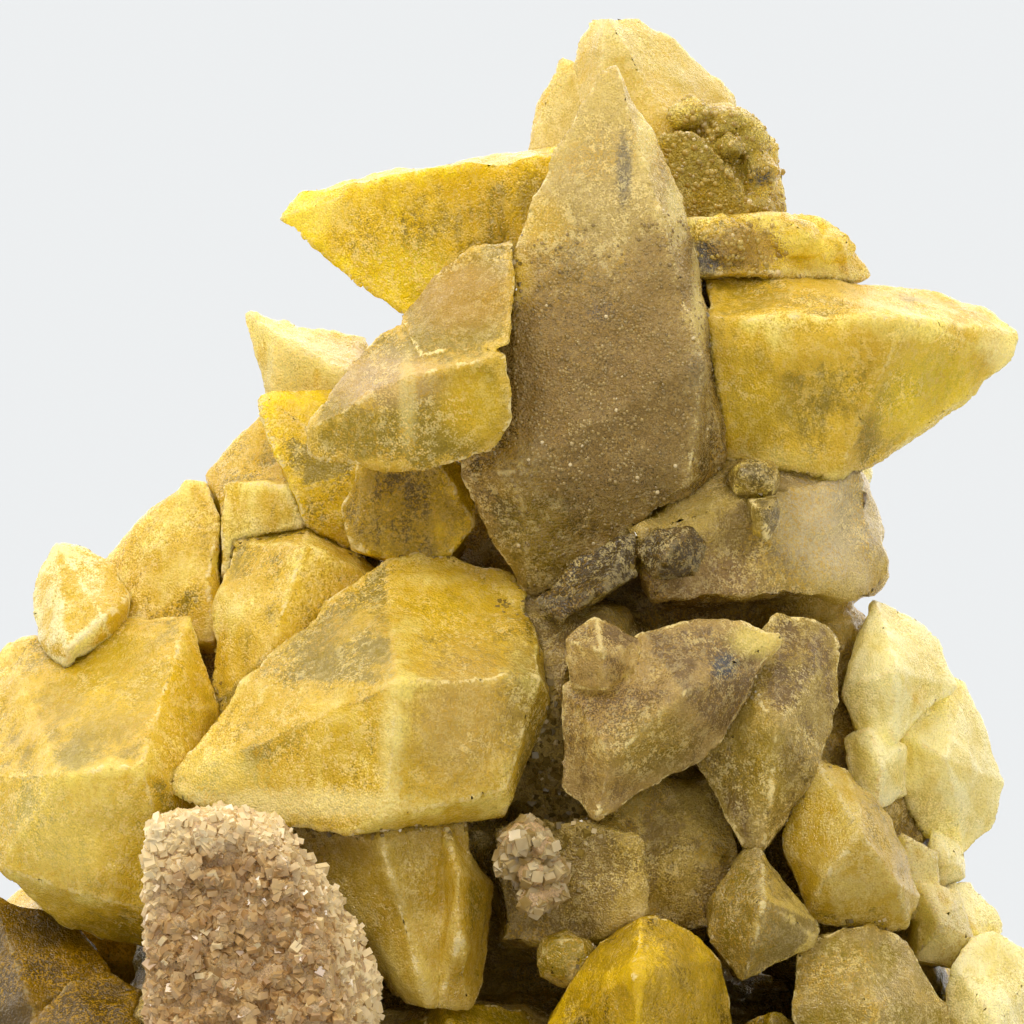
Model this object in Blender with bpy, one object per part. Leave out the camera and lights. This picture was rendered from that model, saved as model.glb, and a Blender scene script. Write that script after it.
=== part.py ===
"""A golden dog-tooth calcite specimen: crystals on their matrix, cut flat below so that it stands.

The frame has X to the right, Y away from the viewer and Z up, with the origin on the flat base.
Corners are written in millimetres, as (x, y, z), and turned to metres in one place.
Every crystal is a convex body between flat faces. Crystals that grew into each other are joined,
and one that only leans on a neighbour stops a hair's breadth short of it.
"""

import math
import random

import bmesh
import bpy
from mathutils import Vector

MM = 0.001
GAP = 0.3
BLOCK = 400.0
MERGE = 0.0005
BELT_RISE = 0.09
STONE_ROUGHNESS = 0.45

# The small crystals on the slab's front: how many across, their size, lean and height.
FRONT_OF_SLAB = -52.0
DRUSE_COLUMNS = 7
DRUSE_SIZE = 1.3
DRUSE_LEAN = 0.9
DRUSE_HEIGHT = 0.8
DRUSE_ROOT = 0.6

CALCITE_GOLD = (0.62, 0.42, 0.05)
CALCITE_AMBER = (0.55, 0.30, 0.03)
CALCITE_PALE = (0.78, 0.70, 0.32)
CALCITE_BROWN = (0.36, 0.26, 0.09)
DRUSE_PINK = (0.62, 0.50, 0.36)
MATRIX_BROWN = (0.26, 0.19, 0.10)


def clear_scene():
    """Remove whatever the file was opened with."""
    for thing in list(bpy.data.objects):
        bpy.data.objects.remove(thing, do_unlink=True)


def dogtooth(tip, root, width, flatness=0.8, turn=0.0, waist=0.6):
    """The eight corners of a scalenohedron: two ends and a zigzag belt of six corners."""
    tip = Vector(tip)
    root = Vector(root)
    along = (tip - root).normalized()
    length = (tip - root).length
    side = along.cross(Vector((0.0, 0.0, 1.0)))
    if side.length < 0.05:
        side = Vector((1.0, 0.0, 0.0))
    side.normalize()
    other = side.cross(along)
    corners = [tip, root]
    for step in range(6):
        angle = math.radians(60 * step + turn)
        rise = BELT_RISE * length * (1 if step % 2 else -1)
        middle = root + along * (waist * length + rise)
        across = side * math.cos(angle) + other * (flatness * math.sin(angle))
        corners.append(middle + across * (width / 2))
    return corners


def lump(centre, radii, seed, rough=0.12, turns=9):
    """The corners of a rough rounded block, fixed by its seed."""
    chance = random.Random(seed)
    corners = []
    rows = max(4, turns // 2 + 1)
    for row in range(rows + 1):
        height = -1.0 + 2.0 * row / rows
        ring = math.sqrt(max(0.0, 1.0 - height * height))
        count = max(1, round(turns * ring))
        for step in range(count):
            angle = 2 * math.pi * (step + 0.5 * (row % 2)) / count
            reach = 1.0 - rough * chance.random()
            corners.append(Vector((
                centre[0] + radii[0] * reach * ring * math.cos(angle),
                centre[1] + radii[1] * reach * ring * math.sin(angle),
                centre[2] + radii[2] * reach * height)))
    return corners


def convex_mesh(corners):
    """The closed convex body round some corners, in metres."""
    shape = bmesh.new()
    for corner in corners:
        shape.verts.new(Vector(corner) * MM)
    found = bmesh.ops.convex_hull(shape, input=shape.verts[:])
    inner = [item for item in found["geom_interior"] if isinstance(item, bmesh.types.BMVert)]
    bmesh.ops.delete(shape, geom=inner, context="VERTS")
    bmesh.ops.recalc_face_normals(shape, faces=shape.faces[:])
    return shape


def grown_mesh(corners, gap):
    """The same body with each flat face moved out by the gap."""
    body = convex_mesh(corners)
    body.normal_update()
    planes = [(face.normal.copy(), face.calc_center_median()) for face in body.faces]
    body.free()
    block = bmesh.new()
    bmesh.ops.create_cube(block, size=BLOCK * MM)
    for normal, point in planes:
        everything = block.verts[:] + block.edges[:] + block.faces[:]
        cut = bmesh.ops.bisect_plane(
            block, geom=everything, dist=1e-8, plane_co=point + normal * (gap * MM),
            plane_no=normal, clear_outer=True)
        rim = [item for item in cut["geom_cut"] if isinstance(item, bmesh.types.BMEdge)]
        if len(rim) > 2:
            bmesh.ops.contextual_create(block, geom=rim)
    bmesh.ops.recalc_face_normals(block, faces=block.faces[:])
    return block


def body_from(shape, name):
    """An object that holds a mesh made above."""
    mesh = bpy.data.meshes.new(name)
    shape.to_mesh(mesh)
    shape.free()
    body = bpy.data.objects.new(name, mesh)
    bpy.context.collection.objects.link(body)
    return body


def combine(body, tool, operation):
    """Join the tool to a body, or cut it away, and remove the tool."""
    change = body.modifiers.new("change", "BOOLEAN")
    change.operation = operation
    change.solver = "EXACT"
    change.object = tool
    seen = body.evaluated_get(bpy.context.evaluated_depsgraph_get())
    result = bpy.data.meshes.new_from_object(seen)
    body.modifiers.clear()
    body.data = result
    bpy.data.objects.remove(tool, do_unlink=True)


def box_of(corners):
    """The lowest and highest corner of a set of corners."""
    low = Vector(min(corner[axis] for corner in corners) for axis in range(3))
    high = Vector(max(corner[axis] for corner in corners) for axis in range(3))
    return low, high


def near(one, two):
    """Whether two sets of corners have boxes that touch, with the gap between them."""
    low_one, high_one = box_of(one)
    low_two, high_two = box_of(two)
    return all(
        low_one[axis] < high_two[axis] + 2 * GAP and low_two[axis] < high_one[axis] + 2 * GAP
        for axis in range(3))


def tidy(body):
    """Merge points that touch, and keep the largest part."""
    shape = bmesh.new()
    shape.from_mesh(body.data)
    bmesh.ops.triangulate(shape, faces=shape.faces[:])
    bmesh.ops.remove_doubles(shape, verts=shape.verts[:], dist=MERGE * MM)
    bmesh.ops.dissolve_degenerate(shape, edges=shape.edges[:], dist=MERGE * MM)
    waiting = set(shape.faces)
    parts = []
    while waiting:
        part = {waiting.pop()}
        fresh = list(part)
        while fresh:
            face = fresh.pop()
            beside = {other for edge in face.edges for other in edge.link_faces}
            found = beside & waiting
            waiting -= found
            part |= found
            fresh.extend(found)
        parts.append(part)
    largest = max(parts, key=lambda part: sum(face.calc_area() for face in part))
    extra = [face for part in parts if part is not largest for face in part]
    bmesh.ops.delete(shape, geom=extra, context="FACES")
    shape.to_mesh(body.data)
    shape.free()


def cut_base(body):
    """Cut the body flat at the height of the base."""
    floor = bmesh.new()
    bmesh.ops.create_cube(floor, size=BLOCK * MM)
    bmesh.ops.translate(floor, verts=floor.verts[:], vec=(0.0, 0.0, -BLOCK * MM / 2))
    combine(body, body_from(floor, "floor"), "DIFFERENCE")


def material(name, colour):
    """Calcite in one of its colours."""
    stone = bpy.data.materials.get(name)
    if stone is None:
        stone = bpy.data.materials.new(name)
        stone.use_nodes = True
        shader = stone.node_tree.nodes["Principled BSDF"]
        shader.inputs["Base Color"].default_value = (*colour, 1.0)
        shader.inputs["Roughness"].default_value = STONE_ROUGHNESS
        shader.inputs["Metallic"].default_value = 0.0
    return stone


# Blocks of the matrix that show between the crystals.
SHOULDER_BLOCK = [
    (20, -20, 68), (35, -15, 67), (36, -15, 62.8), (37.6, -13, 59), (37.8, -13, 56.6),
    (36.3, -15, 54.4), (30, -22, 55), (14, -29, 55), (12, -29, 61), (22, -25, 64), (31, -20, 61),
    (34, 4, 67), (36, 4, 56), (16, 4, 68), (20, 0, 52),
]

BROWN_BLOCK = [
    (-1.8, -33, 31.6), (6, -36, 32.5), (13, -36, 30.6), (13.4, -36, 28.8), (13.4, -35, 23.6),
    (8, -35, 20.4), (-1, -34, 20.6), (0, -18, 32), (12, -18, 32), (12, -18, 20), (-1, -18, 20),
]

OLIVE_STEP = [
    (13, -31, 28.7), (22.6, -30, 28.9), (22.6, -29, 22), (13, -30, 21), (12.6, -27, 36.4),
    (22, -26, 37), (12, -12, 36), (22, -12, 36), (22, -12, 20), (12, -12, 20),
]

# The matrix, from its base to the neck that carries the top crystals.
MATRIX = [
    lump((-20, 6, 4), (23, 26, 15), seed=1, rough=0.2, turns=11),
    lump((20, 8, 5), (23, 26, 16), seed=11, rough=0.2, turns=11),
    lump((4, -16, 4), (33, 21, 14), seed=12, rough=0.2, turns=11),
    lump((30, -8, 46), (7, 10, 11), seed=13),
    lump((36, -8, 13), (8.5, 14, 13), seed=14),
    lump((-4, 0, 30), (33, 25, 24), seed=2, turns=12),
    lump((10, -1, 54), (21, 17, 22), seed=3, turns=11),
    lump((13, 0, 80), (11, 9, 19), seed=4, turns=9),
    lump((4, -20, 44), (12, 14, 15), seed=6, turns=10),
    lump((8, -20, 27), (13, 13, 12), seed=7, turns=10),
    lump((-27, -3, 46), (12, 12, 12), seed=8),
    lump((31, -8, 30), (12, 13, 18), seed=9),
    lump((-27, -26, 10), (14, 16, 17), seed=10),
    SHOULDER_BLOCK,
    BROWN_BLOCK,
    OLIVE_STEP,
]

SPEAR = [[
    (10.3, -17, 107.7), (9.1, -17, 106.9), (4.6, -20, 98.9), (0.0, -24, 88.2), (-4.9, -28, 66.9),
    (14.3, -16.5, 99.9), (18.5, -18, 88.9), (20.4, -19, 76), (21.3, -21, 68.9),
    (18.8, -29, 78.4), (17.5, -28, 66), (0.8, -31, 67.4), (18.5, -20, 64.2), (1.8, -25, 54.6),
    (10, -5, 86), (17, -7, 72), (-2, -9, 74), (7, -11, 60),
]]

LEFT_BLADE = [[
    (-23.2, -6, 92.4), (-21.2, -5, 94.7), (-11.2, -10, 96.6), (4.3, -12, 98.7), (-12.2, -4, 96.9),
    (4.6, -4, 99.6), (-11.4, -11, 83), (-18.2, -8, 88.6), (5, -13, 82), (-9, 3, 90),
    (8, 6, 95), (8, 5, 82),
]]

SIDE_CRYSTAL = [[
    (-20.4, -31, 71.4), (-20.2, -31, 69), (-16.2, -28, 77.8), (-11.5, -26, 82), (-11, -36, 76.6),
    (-0.7, -35.5, 79), (-0.4, -34, 72.9), (-2.2, -33, 69.8), (-16.2, -33, 68.4),
    (-9.2, -35, 67.6), (-14, -21, 72), (-2, -18, 80), (-3, -19, 70), (-9, -18, 78),
], [
    (-11.2, -26, 82.9), (-7.7, -25, 86.6), (-4.2, -24, 89.4), (-0.2, -23, 90), (-0.4, -34, 80),
    (-9, -33, 79), (0, -28, 87), (-9, -17, 80), (0, -15, 85), (-4, -16, 86),
]]

RIGHT_BLADE = [[
    (19.9, -21, 82.3), (39.3, -20, 82.4), (19.9, -14, 86), (24, -13, 86.7), (28.8, -12, 86.5),
    (38.8, -8, 85.2), (47.3, -5, 83.3), (50.5, -7, 80.6), (50.1, -8, 78.4), (43.8, -9, 72.9),
    (31.3, -17, 64.4), (21.5, -19, 68.9), (20.2, -21, 76), (24, 0, 84), (40, 1, 80),
    (30, 0, 70), (22, -3, 70), (46, -2, 80),
]]

SUMMIT = [[
    (7.8, 3, 111.9), (9.5, -1, 112.2), (12.3, 4, 112.4), (16.8, 5, 109.3), (22.1, 7, 104.2),
    (6.5, 1, 107.6), (8, -8, 98), (19, -7, 97), (10, 12, 109.5), (21, 13, 102), (8, 11, 95),
    (22, 12, 94),
], [
    (4.9, 3, 108.3), (6.4, 2, 107.8), (2.8, 4, 103.4), (1.8, 2, 98.6), (8, -3, 98), (9, 6, 106),
    (7, 9, 97), (2.5, 7, 98),
]]

CROWN = [[
    (14, -10, 100.3), (17.8, -11, 100.9), (20.5, -10, 98.4), (23, -9, 95.5), (23.4, -9, 92.3),
    (15, -10, 92), (15, 0, 99.5), (22.6, 1, 97.6), (24, 2, 91), (14, 1, 91),
],
    [(17, -5, 103.6), (21.8, -1, 103.6), (24.2, -1, 102), (26, -1, 99.6), (27, 0, 97), (27.3, 0, 93),
     (22, -8, 93), (20, -7, 101), (16, 6, 100), (24, 7, 98), (25, 7, 92), (16, 4, 92)],
    lump((20.8, -4, 101.6), (3.4, 3.4, 2.4), seed=21, rough=0.3, turns=8),
    lump((23.4, -3.4, 100.2), (2.5, 3.4, 2.6), seed=22, rough=0.3, turns=7),
    lump((24.6, -4, 96.6), (2.4, 3.4, 3.2), seed=24, rough=0.3, turns=8),
    lump((21.8, -7.4, 99.4), (1.6, 2.0, 1.4), seed=25, rough=0.3, turns=6),
    lump((18.0, -6, 102.8), (2.4, 2.4, 1.5), seed=26, rough=0.3, turns=7),
    lump((24.0, -6.5, 93.6), (2.8, 2.6, 1.7), seed=27, rough=0.3, turns=7),
]

LEDGE = [[
    (17, -16, 92.2), (22.8, -13, 92.6), (28.8, -11, 92.7), (32.8, -8, 91.4), (33.9, -8, 89.2),
    (35.8, -7, 86.6), (19, -17, 87), (26, -14.5, 87), (34, -10, 86), (17, 2, 91), (32, 3, 88),
    (28, 5, 86), (17, 3, 86),
],
    lump((21.0, -14, 90.0), (3.6, 3.4, 2.9), seed=31, turns=7),
    lump((27.5, -11, 90.4), (3.8, 3.4, 2.9), seed=32, turns=7),
    lump((31.6, -9, 89.4), (2.9, 3.0, 2.5), seed=33, turns=7),
]

LEMON_CRYSTAL = [[
    (-26.5, -4, 82.7), (-23.2, -2, 82), (-15, 2, 79.9), (-23.7, -8, 80.5), (-16.7, -11, 76.6),
    (-24.7, -5, 76.9), (-24, -7, 72.5), (-14, -10, 69), (-14, 7, 76), (-22, 4, 72), (-10, 6, 66),
    (-9, -6, 70),
]]

AMBER_LEFT_CRYSTAL = [[
    (-25, -13, 74.4), (-18.2, -11, 75), (-13, -13, 72), (-24.2, -15, 71.2), (-21.5, -18, 65),
    (-15, -20, 67.5), (-19.2, -17, 58), (-14, -17, 57), (-12, -3, 70), (-21, -4, 64),
    (-14, -1, 58),
]]

DARK_HOLLOW_CRYSTAL = [[
    (-15, -22, 68.5), (-8, -25, 69.5), (-4.5, -22, 67.5), (-4, -24, 62), (-8, -24, 57),
    (-15.5, -23, 60), (-17, -21, 63), (-12, -10, 68), (-4, -10, 66), (-6, -10, 56), (-15, -10, 58),
]]

LEFT_SHOULDER = [[
    (-25.2, -5, 72.4), (-26.8, -4, 71.3), (-30.5, -5, 66.6), (-21, -12, 66), (-21, -8, 71),
    (-29, -11, 63), (-20, 4, 67), (-28, 4, 65), (-20, 4, 58), (-29, 3, 58), (-21, -12, 60),
], [
    (-28.7, -13, 65.8), (-21, -17, 65.4), (-19, -18, 58), (-29, -15, 57), (-20, -6, 66),
    (-29, -5, 63), (-20, -4, 54), (-28, -4, 54),
]]

SLOPE_CRYSTAL = [[
    (-32.7, -9, 66), (-30.7, -9, 65.8), (-29.4, -12, 62), (-30.6, -15, 56), (-36.2, -7, 62.9),
    (-40.7, -7, 57.8), (-39, -14, 51), (-30, -16, 50), (-32, 3, 64), (-39, 4, 56), (-29, 4, 56),
    (-31, 2, 46), (-39, 2, 48),
]]

EDGE_CRYSTAL = [[
    (-45.7, -10, 59.6), (-42.7, -10, 59), (-40.5, -12, 57.8), (-38.4, -15, 54.6),
    (-41.2, -20, 52.2), (-44.4, -21, 49.4), (-47, -16, 50), (-47.8, -11, 54.4),
    (-46.8, -10, 57.9), (-44.7, -18, 46), (-39.8, -16, 49), (-43, 0, 56), (-39, 1, 52),
    (-46, 0, 48), (-42, -2, 44),
]]

BIG_LEFT_CRYSTAL = [[
    (-58, -18, 36), (-50.5, -12, 49.5), (-40, -14, 52), (-32.5, -20, 52.5), (-29.5, -24, 44),
    (-45, -35, 37), (-37, -37.5, 38), (-51, -29, 27.8), (-40.2, -34, 24.7), (-33, -33, 22.5),
    (-45, -25, 22.2), (-35, -26, 19.2), (-30, -30, 34), (-28, -22, 22), (-54, -6, 37),
    (-34, -4, 48), (-50, -6, 27), (-30, -6, 24),
]]

RIDGE_CRYSTAL = [[
    (-27.7, -15, 60), (-20.2, -14, 62.4), (-16.7, -16, 60), (-12, -21, 55.5), (-20.9, -23, 59.4),
    (-24.2, -28, 49.5), (-29.2, -19, 55.4), (-30.2, -23, 43), (-24, -28, 41), (-12, -24, 46),
    (-16, -8, 58), (-27, -8, 48), (-14, -10, 44),
]]

BIG_FRONT_CRYSTAL = [[
    (-34.3, -34, 36.2), (-26.2, -31, 46.6), (-18.2, -28, 53.9), (-12.7, -25, 58.2),
    (-7.2, -24, 58.6), (-0.4, -24, 56.8), (1.6, -26, 54.4), (-11.4, -45, 46.4),
    (-12.6, -44, 33.2), (2.6, -38, 47), (3.8, -33, 44), (-0.8, -40, 36), (-31.7, -36, 34.6),
    (-22.2, -40, 32.4), (-16.2, -42, 31.5), (-1.2, -37, 33.4), (-22, -18, 42), (-2, -14, 54),
    (0, -16, 36), (-14, -18, 32),
]]

SLAB_BLOCK = [
    (-35.8, -52, 0), (-35.6, -52, 14), (-34.6, -52, 22), (-35.8, -52, 29), (-35.2, -52, 32),
    (-29.5, -52, 33.2), (-24.5, -52, 31), (-22.2, -52, 27.4), (-19.4, -52, 20.4),
    (-17, -52, 12), (-16.6, -52, 0), (-35.4, -43, 33), (-29, -43, 33.8), (-22.7, -43, 32.2),
    (-18.9, -43, 27.4), (-15.7, -43, 22.9), (-13.6, -43, 16.9), (-13.9, -43, -4),
    (-36, -43, -4), (-35.8, -52, -4), (-16.6, -52, -4),
]


def druse(low, high, top_of, count, seed):
    """Small pointed crystals that stand in rows, shaken a little, on the front of the slab."""
    chance = random.Random(seed)
    spikes = []
    rows = math.ceil(count / DRUSE_COLUMNS)
    for row in range(rows):
        for column in range(DRUSE_COLUMNS):
            place = column + 0.5 * (row % 2) + 0.25 + 0.5 * chance.random()
            across = place / (DRUSE_COLUMNS + 0.5)
            up = (row + chance.random()) / rows
            x = low[0] + (high[0] - low[0]) * across
            z = low[1] + (high[1] - low[1]) * up
            if not top_of(x, z):
                continue
            size = DRUSE_SIZE + chance.random()
            lean = chance.uniform(-DRUSE_LEAN, DRUSE_LEAN)
            rise = chance.uniform(-0.6, 0.9)
            tip = FRONT_OF_SLAB - DRUSE_HEIGHT - chance.random()
            spike = [Vector((x + lean, tip, z + rise))]
            turn = chance.random()
            for corner in range(4):
                angle = 2 * math.pi * (corner / 4 + turn)
                spike.append(Vector((
                    x + size * math.cos(angle), FRONT_OF_SLAB + DRUSE_ROOT,
                    z + size * math.sin(angle))))
            spikes.append(spike)
    return spikes


def on_slab(x, z):
    """Whether a point of the slab's front lies inside its outline."""
    right_edge = -17.4 - 0.33 * max(0.0, z - 12.0)
    return -34.2 < x < right_edge and z < 31.6 - 0.25 * max(0.0, x + 29.0)


DRUSY_SLAB = [SLAB_BLOCK] + druse((-36, 1.5), (-16, 33), on_slab, 84, seed=71)

HANGING_CRYSTALS = [[
    (-22.5, -35, 33), (-13, -41, 32), (-5, -37, 33), (-13, -42, 30.4), (-8.4, -42, 14.2),
    (-13.8, -37, 18.8), (-11.4, -37, 15.4), (-19, -34, 27), (-4.6, -38, 26), (-6.6, -39, 15),
    (-18, -24, 30), (-5, -24, 30), (-12, -24, 16), (-5, -24, 18),
], [
    (-6.7, -38, 32.2), (-3.7, -36, 27), (-2.2, -35, 26.2), (-2.1, -35, 21.9), (-3, -37, 16.4),
    (-4.4, -40, 14), (-7.2, -41, 14.4), (-5.4, -42, 27.4), (-5.2, -42.5, 21.4), (-3, -26, 27),
    (-8, -28, 30), (-4, -27, 16), (-8, -27, 16),
]]

GRAPE_LUMPS = [
    lump((5.4, -37, 35.4), (4.6, 4.4, 3.8), seed=40, rough=0.2, turns=8),
    lump((1.8, -38, 29.4), (2.9, 3.4, 3.6), seed=41, turns=7),
    lump((3.0, -38, 26.0), (2.2, 3.2, 2.6), seed=42, turns=8),
    lump((2.5, -41, 32.2), (0.9, 0.9, 0.9), seed=43, rough=0.04, turns=6),
    lump((0.8, -41, 30.6), (1.1, 1.1, 1.1), seed=44, rough=0.04, turns=6),
    lump((3.1, -41, 30.4), (1.2, 1.2, 1.2), seed=45, rough=0.04, turns=6),
    lump((2.1, -41, 27.4), (1.4, 1.4, 1.4), seed=46, rough=0.04, turns=6),
    lump((4.4, -40, 27.8), (1.1, 1.1, 1.1), seed=47, rough=0.04, turns=6),
    lump((2.3, -40.6, 24.9), (1.4, 1.4, 1.4), seed=48, rough=0.04, turns=6),
    lump((4.2, -39.6, 25.5), (1.0, 1.0, 1.0), seed=49, rough=0.04, turns=6),
    lump((-0.3, -40, 28.4), (1.0, 1.0, 1.0), seed=50, rough=0.04, turns=6),
]

GREY_SPOT_CRYSTAL = [[
    (13.3, -35, 51.2), (20.8, -33, 52.5), (26.6, -31, 50.7), (24.4, -33.5, 47.2),
    (21.3, -34, 40.8), (18, -35, 38.4), (8.4, -38, 33), (5, -36, 36), (5.4, -36, 46),
    (17, -40.5, 45.5), (10, -41, 39), (14, -24, 50), (22, -25, 47), (8, -26, 36), (18, -26, 41),
], [
    (5.6, -37, 50.6), (8.4, -36, 52.7), (12.4, -36, 50.4), (12.6, -37, 47.6), (9.6, -39, 46),
    (6, -37, 46), (9, -40, 49.5), (8, -28, 50), (11, -28, 47),
]]

HANGING_BROWN_CRYSTAL = [[
    (26.4, -25, 52.7), (31.6, -23, 51.6), (32.4, -24, 49.5), (32.4, -26, 44.2), (30, -30, 37.2),
    (25, -33, 29.5), (23.3, -33, 30.2), (18.8, -31, 38.9), (26.4, -35, 42), (22, -30, 48),
    (30, -14, 50), (28, -15, 36), (21, -16, 44), (24, -22, 30.5),
]]

PALE_RIGHT_CRYSTALS = [[
    (36.3, -14, 54.1), (39.3, -12, 52.3), (42.3, -12, 50), (44, -13, 45.6), (35.4, -18, 50.4),
    (33, -20, 45.4), (35, -20, 41.2), (37.8, -21, 40.2), (41.3, -18, 43), (38.4, -23.5, 47.4),
    (37, -4, 50), (42, -4, 44), (34, -4, 42),
], [
    (44, -10, 45.8), (45.3, -9, 45.5), (47.3, -8, 41), (49.2, -8, 35.9), (47.8, -9, 31.2),
    (45.3, -11, 28.6), (40.3, -14, 31.6), (38.6, -15, 34.4), (39.2, -16, 41), (43.4, -18.5, 38.4),
    (44, 2, 43), (47, 2, 34), (39, 2, 34),
], [
    (33.6, -20, 40.5), (36, -21, 41.2), (39.2, -19, 39.6), (39.4, -19, 35), (36.4, -22, 33.6),
    (34, -21, 36.4), (37, -23, 38), (36, -10, 39), (38, -10, 35), (34, -12, 36),
], [
    (42.3, -15, 30.8), (44.9, -13, 29.6), (45.4, -13, 26.4), (43.3, -15, 25.6), (41.6, -16, 26.6),
    (43.6, -16.5, 28), (43, -8, 31), (44, -8, 27),
]]

CLEAR_RIGHT_CRYSTAL = [[
    (30.3, -29, 38.2), (33.3, -28, 37.6), (37.8, -28, 32.4), (40.5, -28, 24.9), (39.3, -29, 22),
    (32.8, -32, 21.7), (29.6, -32, 22.9), (27.3, -31, 29.4), (28.1, -30, 34.4), (34.8, -36, 31.4),
    (38.4, -33.5, 26), (31.4, -36, 27), (34, -14, 35), (38, -14, 25), (29, -16, 26),
]]

RIGHT_FOOT_CRYSTALS = [[
    (39.4, -22, 30.8), (42.4, -20, 29), (42.5, -20, 24), (40, -22, 22.5), (38, -14, 30),
    (42, -10, 28), (40, -10, 23),
], [
    (41, -22, 25.6), (44.4, -20, 25), (46, -20, 20), (44.5, -21, 17.6), (40.5, -23, 18.5),
    (43, -25, 22), (42, -8, 24), (44, -8, 18), (39, -10, 18),
]]

LOWER_RIGHT_CRYSTAL = [[
    (23.3, -34, 29.4), (24.8, -34, 29.5), (27, -35, 26), (30.1, -35, 22.2), (29.8, -36, 20.9),
    (27.3, -37, 18.8), (23, -38, 16.5), (20, -36, 20.9), (20.2, -36, 24.8), (25, -40, 24.5),
    (24, -40, 20), (24, -20, 28), (28, -20, 22), (22, -20, 18), (20, -20, 24),
]]

CORNER_CRYSTAL = [[
    (30.8, -33, 20.9), (32.8, -33, 21.8), (35.8, -32, 21.8), (39.3, -30, 19.9), (43.3, -28, 13.9),
    (43, -28, 8), (29, -35, 19.5), (28.2, -36, 14), (30, -36, 6), (36, -38, 14), (38, -36, 4),
    (34, -14, 20), (41, -12, 12), (30, -14, 4), (42, -14, 0), (42, -27, -4), (30, -36, -4),
]]

AMBER_FRONT_CRYSTAL = [[
    (12.8, -42, 23.1), (14.5, -41, 23.3), (17.8, -39, 21.5), (20.6, -38, 18.4), (22, -38, 13),
    (23.5, -36, -4), (8.8, -40, 20.4), (6.8, -40, 17.4), (2.6, -39, 10), (0, -37, -4),
    (12.5, -49, 18), (12.5, -51, 2), (12.5, -47, -6), (12, -22, 22), (19, -22, 16), (5, -22, 14),
    (20, -20, -4), (4, -20, -4),
]]

ROUND_CRYSTAL = [
    lump((5.4, -37.5, 19.0), (3.1, 3.4, 3.0), seed=61, rough=0.06, turns=9),
]

PALE_CORNER_CRYSTALS = [[
    (46.3, -22, 20.2), (48, -21, 20.5), (52.5, -18, 18), (53, -18, 8), (44.3, -24, 17.9),
    (43.2, -24, 12), (44, -24, 2), (48.5, -28, 12), (50, -24, -4), (46, -6, 18), (52, -6, 8),
    (44, -6, 2), (50, -8, -4), (43, -20, -4),
], [
    (43, -15, 25.4), (46, -14, 25.8), (49, -13, 21.6), (48.4, -14, 18), (43.5, -16, 18.5),
    (46, -17.5, 22), (44, 0, 24), (48, 0, 20), (43, 0, 18),
]]

LOWER_LEFT_CRYSTALS = [[
    (-52, -20, 24.5), (-44, -23, 22), (-40.6, -27, 17.5), (-41, -30, 8), (-44, -30, -4),
    (-59, -17, 12), (-51, -24, -4), (-48, -31, 14), (-50, -2, 20), (-42, -2, 18), (-46, -2, -4),
    (-40, -6, -4), (-56, -16, 3),
], [
    (-40.2, -31, 17.3), (-38, -33, 15.6), (-35.4, -34, 14.2), (-44.4, -32, 16), (-49, -34, 11),
    (-50, -34, -4), (-36, -38, -4), (-42, -39, 6), (-38, -40, 9), (-42, -18, 14), (-36, -18, 12),
    (-48, -18, -4), (-34, -18, -4),
]]

LOWER_FRONT_CRYSTALS = [
    dogtooth((-4.5, -47, 7), (-4, -16, 8), 17, turn=12, flatness=0.9),
    dogtooth((-11.5, -45, 4.5), (-6, -14, 7), 17, turn=40, flatness=0.9),
]

FRONT_FOOT_CRYSTAL = [
    dogtooth((27.5, -47, 6), (24, -14, 8), 15, turn=25, flatness=0.9),
]

HANGING_NUB = [[
    (23.8, -27, 64.4), (26.4, -27, 64.6), (26.7, -27, 62.2), (25.4, -28, 60.6), (24.3, -28, 61.4),
    (25.2, -29, 63), (24.2, -22, 64), (26.2, -22, 62), (25, -22, 61),
]]

CREAM_LUMP = [
    lump((24.0, -23, 66.6), (2.7, 4.2, 2.5), seed=65, rough=0.2, turns=8),
]

GREY_BLOCK = [[
    (12.6, -31, 59.4), (14.4, -31, 61.4), (17.8, -30, 61.8), (19, -30, 60), (18, -31, 57.4),
    (14.2, -32, 56.8), (16, -33, 59.8), (14, -24, 60), (18, -24, 60), (16, -24, 57),
]]

LOW_GREY_CRYSTAL = [[
    (2.6, -33, 54.2), (6, -31, 58.2), (12, -30, 61), (12.4, -32, 57), (5, -34, 52.6), (9, -35, 55.6),
    (6, -22, 56), (12, -22, 58), (4, -22, 53),
]]

BACK_TOP_CRYSTALS = [
    dogtooth((19, 28, 96), (13, -2, 80), 17, turn=14),
    dogtooth((4, 21, 91), (12, -2, 76), 14, turn=35),
    dogtooth((29, 19, 90), (16, -2, 76), 13, turn=-8),
]

BACK_SHOULDER_CRYSTALS = [
    dogtooth((37, 25, 74), (12, 0, 60), 20, turn=20),
    dogtooth((24, 34, 79), (13, 2, 62), 19, turn=-20),
]

BACK_UPPER_LEFT_CRYSTALS = [
    dogtooth((-16, 28, 77), (6, 0, 60), 21, turn=8),
    dogtooth((-24, 16, 69), (4, -2, 56), 18, turn=32),
    dogtooth((0, 33, 77), (8, 0, 62), 16, turn=20),
]

BACK_MIDDLE_CRYSTALS = [
    dogtooth((9, 43, 62), (6, 0, 46), 27, turn=15),
    dogtooth((25, 37, 53), (10, 2, 44), 21, turn=-18),
    dogtooth((-9, 39, 53), (2, 2, 42), 19, turn=40),
]

BACK_LEFT_CRYSTALS = [
    dogtooth((-40, 31, 52), (-8, 2, 38), 27, turn=10),
    dogtooth((-50, 11, 45), (-18, -2, 38), 21, turn=36),
    dogtooth((-26, 38, 41), (-8, 4, 32), 20, turn=-6),
]

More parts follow.
